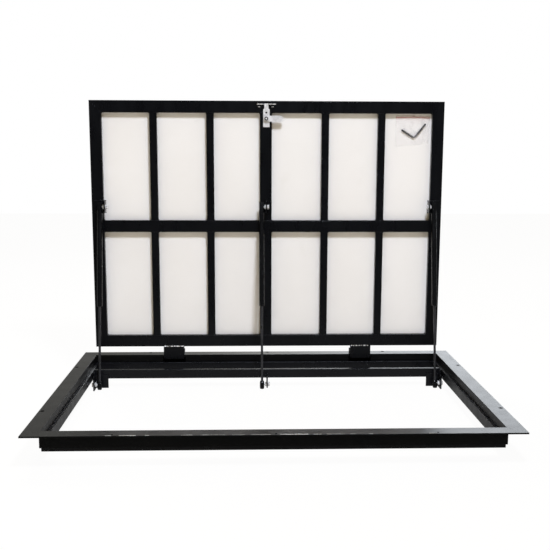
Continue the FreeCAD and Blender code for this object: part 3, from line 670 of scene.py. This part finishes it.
studio = {"floorZ": -0.0885, "floorHalf": 9.0, "floorWhite": 0.96, "floorColour": (0.84, 0.79, 0.7),
          "floorShine": (0.1, 0.31), "shineFrom": (-0.62, -0.38),  # the floor that shiny pieces see, along Y
          "keyPlace": (0.33, -1.36, 2.5), "keyAim": (0, 0.43, -1.0), "keySize": 0.42, "keyPower": 9.3,
          "keyColour": (0.845, 0.905, 1.045),
          "backPlace": (-1.3, 3.0, 2.6), "backAim": (0, 0.44, 0.4), "backSize": 1.2, "backPower": 5.2,
          "backColour": (0.93, 0.96, 1.0),
          "fill": (0.44, 0.37, 0.25), "frontShine": 0.05, "rearShine": 0.42, "shineY": (0.0, 0.9),
          "panel": 3.0, "panelX": (-0.12, 0.24), "panelY": (0.55, 0.9), "panelZ": (0.35, 0.8),
          "panelTop": 0.25, "leftTint": (1.0, 0.99, 0.93), "rightTint": (0.93, 0.975, 1.03),
          "tintX": (-0.05, 0.22)}


def pathMix(tree, parts):
    rays = tree.nodes.new("ShaderNodeLightPath")
    total = None
    for name in parts:
        if total is None:
            total = rays.outputs[name]
            continue
        add = tree.nodes.new("ShaderNodeMath")
        add.operation = "MAXIMUM"
        tree.links.new(total, add.inputs[0])
        tree.links.new(rays.outputs[name], add.inputs[1])
        total = add.outputs[0]
    return total, rays


def makeFloor():
    half, z = studio["floorHalf"], studio["floorZ"]
    mesh = bpy.data.meshes.new("floor")
    corners = [(-half, -half, z), (half, -half, z), (half, half, z), (-half, half, z)]
    mesh.from_pydata(corners, [], [(0, 1, 2, 3)])
    material = bpy.data.materials.new("floor")
    material.use_nodes = True
    tree = material.node_tree
    tree.nodes.clear()
    out, matt = tree.nodes.new("ShaderNodeOutputMaterial"), tree.nodes.new("ShaderNodeBsdfDiffuse")
    glow, mix = tree.nodes.new("ShaderNodeEmission"), tree.nodes.new("ShaderNodeMixShader")
    matt.inputs["Color"].default_value = (*studio["floorColour"], 1)
    seen, rays = pathMix(tree, ["Is Camera Ray", "Is Transmission Ray"])
    share, bright, either = [tree.nodes.new("ShaderNodeMath") for _ in range(3)]
    share.operation, bright.operation, either.operation = "MULTIPLY", "MAXIMUM", "MAXIMUM"
    share.inputs[1].default_value = studio["floorWhite"]
    place, split = tree.nodes.new("ShaderNodeTexCoord"), tree.nodes.new("ShaderNodeSeparateXYZ")
    tree.links.new(place.outputs["Object"], split.inputs[0])
    shine = addRange(tree, split.outputs["Y"], *studio["floorShine"], *studio["shineFrom"])
    tree.links.new(shine, bright.inputs[1])
    tree.links.new(seen, share.inputs[0])
    tree.links.new(seen, bright.inputs[0])
    tree.links.new(bright.outputs[0], glow.inputs["Strength"])
    tree.links.new(share.outputs[0], either.inputs[0])
    tree.links.new(rays.outputs["Is Glossy Ray"], either.inputs[1])
    tree.links.new(either.outputs[0], mix.inputs[0])
    tree.links.new(matt.outputs[0], mix.inputs[1])
    tree.links.new(glow.outputs[0], mix.inputs[2])
    tree.links.new(mix.outputs[0], out.inputs[0])
    mesh.materials.append(material)
    floor = bpy.data.objects.new("floor", mesh)
    bpy.context.scene.collection.objects.link(floor)


def makeWorld():
    world = bpy.data.worlds.new("studio")
    bpy.context.scene.world = world
    world.use_nodes = True
    tree = world.node_tree
    tree.nodes.clear()
    out = tree.nodes.new("ShaderNodeOutputWorld")
    white, fill, shine = [tree.nodes.new("ShaderNodeBackground") for _ in range(3)]
    fill.inputs["Color"].default_value = (*studio["fill"], 1)
    white.inputs["Color"].default_value = (1, 1, 1, 1)
    place, split = tree.nodes.new("ShaderNodeTexCoord"), tree.nodes.new("ShaderNodeSeparateXYZ")
    tree.links.new(place.outputs["Generated"], split.inputs[0])
    side = addRange(tree, split.outputs["X"], 0.0, 1.0, *studio["panelX"])
    behind = addRange(tree, split.outputs["Y"], 0.0, 1.0, *studio["panelY"])
    low = addRange(tree, split.outputs["Z"], 1.0, studio["panelTop"], *studio["panelZ"])
    panel = None
    for value in (side, behind, low):
        if panel is None:
            panel = value
            continue
        times = tree.nodes.new("ShaderNodeMath")
        times.operation = "MULTIPLY"
        tree.links.new(panel, times.inputs[0])
        tree.links.new(value, times.inputs[1])
        panel = times.outputs[0]
    rear = addRange(tree, split.outputs["Y"], studio["frontShine"], studio["rearShine"], *studio["shineY"])
    bright = tree.nodes.new("ShaderNodeMath")
    bright.operation = "MULTIPLY_ADD"
    bright.inputs[1].default_value = studio["panel"]
    tree.links.new(panel, bright.inputs[0])
    tree.links.new(rear, bright.inputs[2])
    tree.links.new(bright.outputs[0], shine.inputs["Strength"])
    tint = addRange(tree, split.outputs["X"], 0, 1, *studio["tintX"])
    tree.links.new(mixColours(tree, tint, studio["leftTint"], studio["rightTint"]), shine.inputs["Color"])
    seen, rays = pathMix(tree, ["Is Camera Ray", "Is Transmission Ray"])
    glossy, final = tree.nodes.new("ShaderNodeMixShader"), tree.nodes.new("ShaderNodeMixShader")
    tree.links.new(rays.outputs["Is Glossy Ray"], glossy.inputs[0])
    tree.links.new(fill.outputs[0], glossy.inputs[1])
    tree.links.new(shine.outputs[0], glossy.inputs[2])
    tree.links.new(seen, final.inputs[0])
    tree.links.new(glossy.outputs[0], final.inputs[1])
    tree.links.new(white.outputs[0], final.inputs[2])
    tree.links.new(final.outputs[0], out.inputs[0])


def addPanel(name, place, aim, size, power, colour, shines):
    lamp = bpy.data.lights.new(name, "AREA")
    lamp.shape, lamp.size = "SQUARE", size
    lamp.energy, lamp.color, lamp.use_nodes = power, colour, True
    tree = lamp.node_tree
    steady = tree.nodes.new("ShaderNodeLightFalloff")  # as bright on the low cells as on the high ones
    steady.inputs["Strength"].default_value = 1.0
    tree.links.new(steady.outputs["Constant"], tree.nodes["Emission"].inputs["Strength"])
    panel = bpy.data.objects.new(name, lamp)
    panel.location, panel.visible_glossy = place, shines
    panel.rotation_euler = (Vector(aim) - Vector(place)).to_track_quat("-Z", "Y").to_euler()
    bpy.context.scene.collection.objects.link(panel)


def makeCamera():
    view = {"place": (-0.077, -2.5856, 0.7034), "down": 9.575, "right": 1.968, "roll": 0.175, "lens": 56.96,
            "rise": 0.0454}
    lens = bpy.data.cameras.new("camera")
    lens.lens, lens.sensor_width, lens.shift_y = view["lens"], 36.0, view["rise"]
    camera = bpy.data.objects.new("camera", lens)
    turn = (Matrix.Rotation(math.radians(-view["right"]), 3, "Z")
            @ Matrix.Rotation(math.radians(90 - view["down"]), 3, "X")
            @ Matrix.Rotation(math.radians(view["roll"]), 3, "Z"))
    camera.location, camera.rotation_euler = view["place"], turn.to_euler()
    bpy.context.scene.collection.objects.link(camera)
    bpy.context.scene.camera = camera


makeFloor()
makeWorld()
addPanel("keyLight", studio["keyPlace"], studio["keyAim"], studio["keySize"], studio["keyPower"],
         studio["keyColour"], True)
addPanel("backLight", studio["backPlace"], studio["backAim"], studio["backSize"], studio["backPower"],
         studio["backColour"], False)
makeCamera()
bpy.context.scene.view_settings.view_transform = "Standard"
print("floor, light and camera set")
